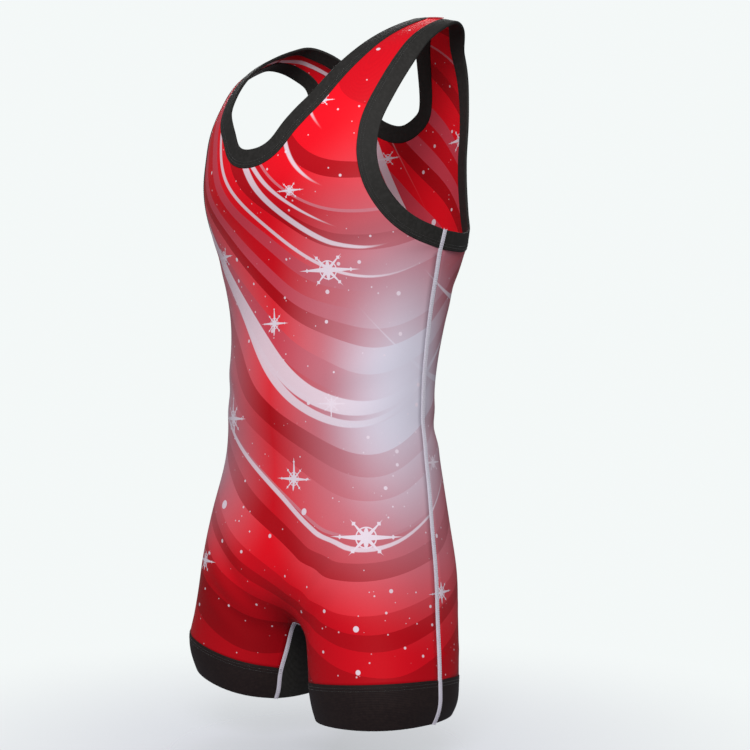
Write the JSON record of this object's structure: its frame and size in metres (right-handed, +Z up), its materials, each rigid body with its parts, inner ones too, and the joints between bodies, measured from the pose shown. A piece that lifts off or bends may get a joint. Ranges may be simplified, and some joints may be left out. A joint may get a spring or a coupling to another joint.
{
  "type": "wrestling singlet",
  "caption": "Sleeveless one-piece stretch suit with short legs, scooped neck and armholes edged in dark binding, and wide leg bands, filled out as worn with no wearer.",
  "frame": {"origin": "where the shoulders hold the suit up: midway between the two straps, over the middle of the trunk, at the height of the straps' inner faces", "axes": "+X to the wearer's left, -Y to the front and +Y to the back of the suit, +Z up"},
  "size_m": [0.3602, 0.2505, 0.7808],
  "materials": {
    "knit": "smooth stretch knit with a slight sheen",
    "binding": "folded stretch binding",
    "leg_band": "dull elastic knit",
    "gusset_knit": "smooth stretch knit"
  },
  "bodies": {
    "root": {"front_panel": "knit", "back_panel": "knit", "crotch_gusset": "gusset_knit", "hem_band_front_left": "leg_band", "hem_band_front_right": "leg_band", "hem_band_back_left": "leg_band", "hem_band_back_right": "leg_band", "neck_binding": "binding", "armhole_binding_left": "binding", "armhole_binding_right": "binding"}
  },
  "joints": []
}
